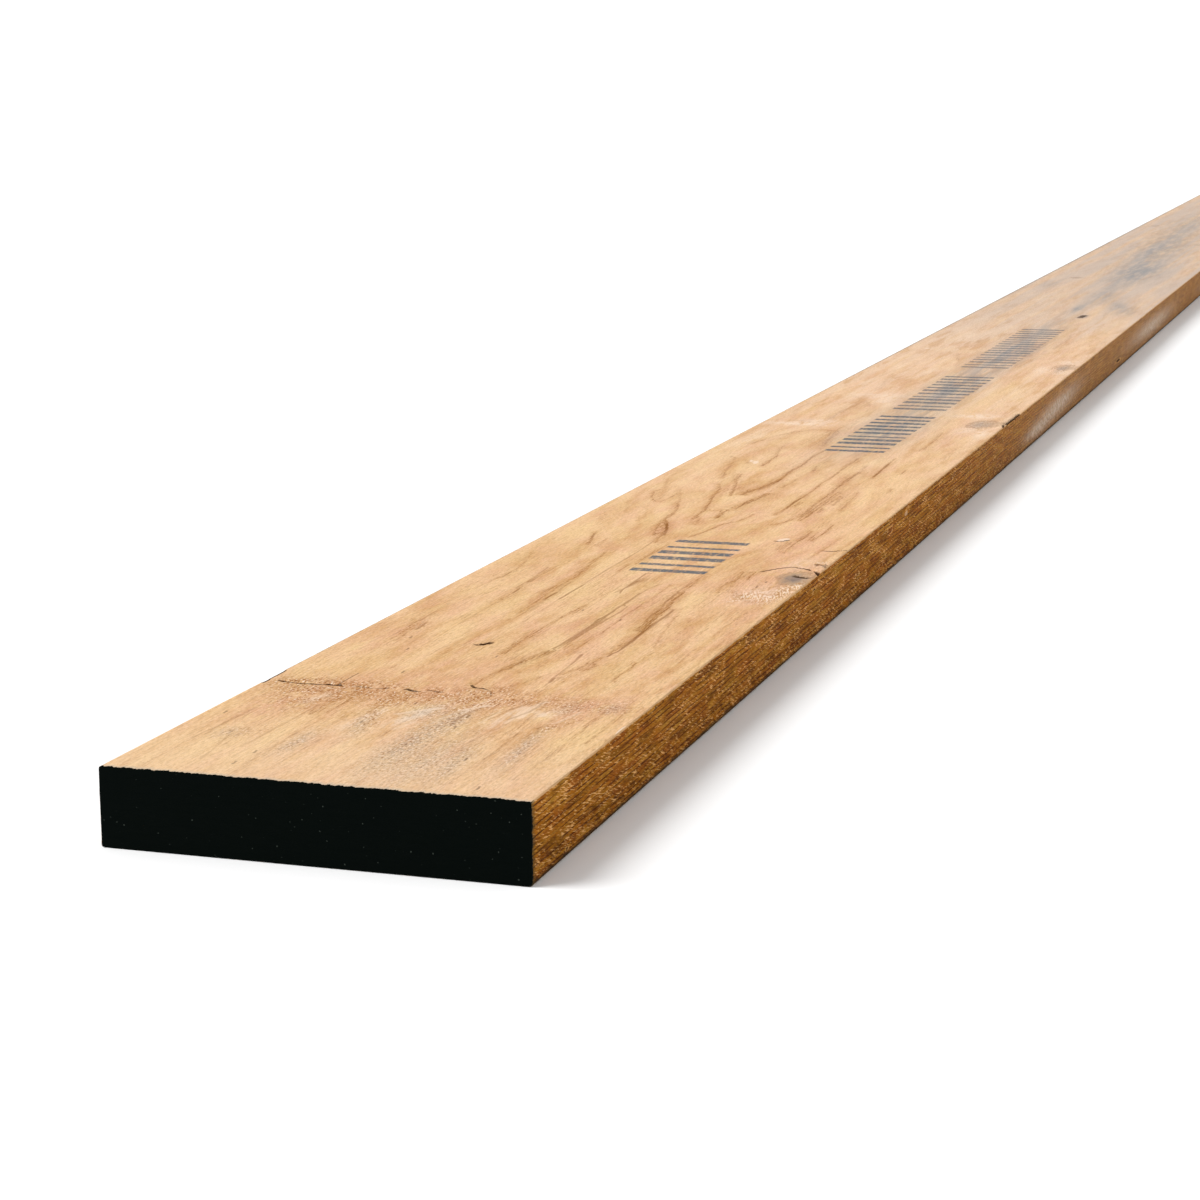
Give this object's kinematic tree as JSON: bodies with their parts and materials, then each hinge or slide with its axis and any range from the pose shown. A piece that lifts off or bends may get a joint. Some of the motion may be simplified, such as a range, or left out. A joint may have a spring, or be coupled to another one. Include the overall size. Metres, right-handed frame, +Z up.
{
  "type": "laminated veneer lumber plank",
  "caption": "Long flat timber plank pressed from thin veneers, with square sawn ends sealed black, eased long arrises, and a torn spot, a crack and a small void along one edge.",
  "frame": {"origin": "middle of the underside, on the surface the plank lies on", "axes": "+X along the length, from the end the picture shows towards the far one; +Y across the wide face; +Z up through the thickness"},
  "size_m": [6.096, 0.2414, 0.0444],
  "materials": {
    "veneer_wood": "bare peeled softwood veneer on the wide faces, sawn ply edges in orange brown, black sealer on both ends"
  },
  "bodies": {
    "root": {"plank": "veneer_wood"}
  },
  "joints": []
}
